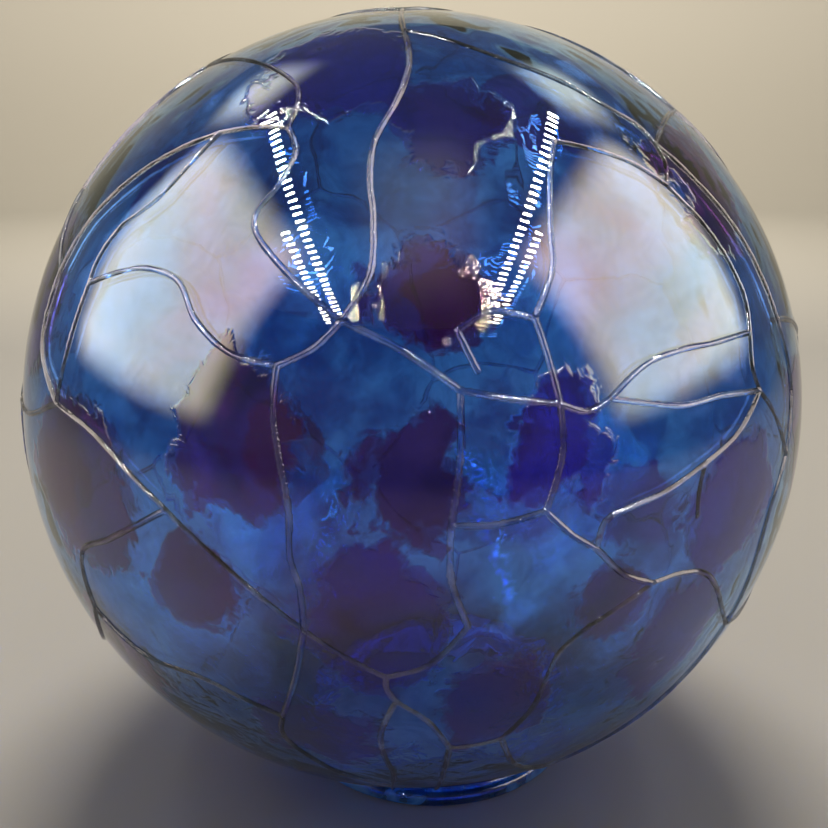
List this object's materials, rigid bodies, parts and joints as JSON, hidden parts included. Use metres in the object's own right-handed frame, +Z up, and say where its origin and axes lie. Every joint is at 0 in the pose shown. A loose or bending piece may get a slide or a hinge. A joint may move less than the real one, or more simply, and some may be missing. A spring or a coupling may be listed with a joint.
{
  "type": "glass globe shade",
  "caption": "Hollow ball of blue and violet art glass with a raised clear honeycomb web, standing on a short lipped fitter collar.",
  "frame": {"origin": "centre of the fitter collar, in the plane of its rim", "axes": "+Z up through the collar into the ball; -Y is the front face; the ball leans towards -X"},
  "size_m": [0.2038, 0.2044, 0.2051],
  "materials": {
    "blue_glass": "blown, glossy, faintly lustrous",
    "amethyst_glass": "chips melted flush, glossy",
    "clear_glass": "threads laid hot, glossy"
  },
  "bodies": {
    "root": {"globe_shell": "blue_glass", "fitter_collar": "blue_glass", "patch_crown_left": "amethyst_glass", "patch_crown_right": "amethyst_glass", "patch_shoulder_right": "amethyst_glass", "patch_shoulder_left": "amethyst_glass", "patch_brow": "amethyst_glass", "patch_cheek_left": "amethyst_glass", "patch_cheek_right": "amethyst_glass", "patch_middle": "amethyst_glass", "patch_belly": "amethyst_glass", "patch_belly_right": "amethyst_glass", "patch_waist_left": "amethyst_glass", "patch_waist_right": "amethyst_glass", "patch_chip_right": "amethyst_glass", "patch_chip_left": "amethyst_glass", "patch_hip_right": "amethyst_glass", "patch_hip_left": "amethyst_glass", "patch_hip_front": "amethyst_glass", "patch_flank_right": "amethyst_glass", "patch_flank_left": "amethyst_glass", "patch_back_high": "amethyst_glass", "patch_back_right": "amethyst_glass", "patch_back_middle": "amethyst_glass", "patch_back_left": "amethyst_glass", "patch_back_low": "amethyst_glass", "patch_back_hip": "amethyst_glass", "web_front": "clear_glass", "web_crown": "clear_glass", "web_left": "clear_glass", "web_right": "clear_glass", "web_back_right": "clear_glass", "web_back_left": "clear_glass", "web_foot": "clear_glass"}
  },
  "joints": []
}
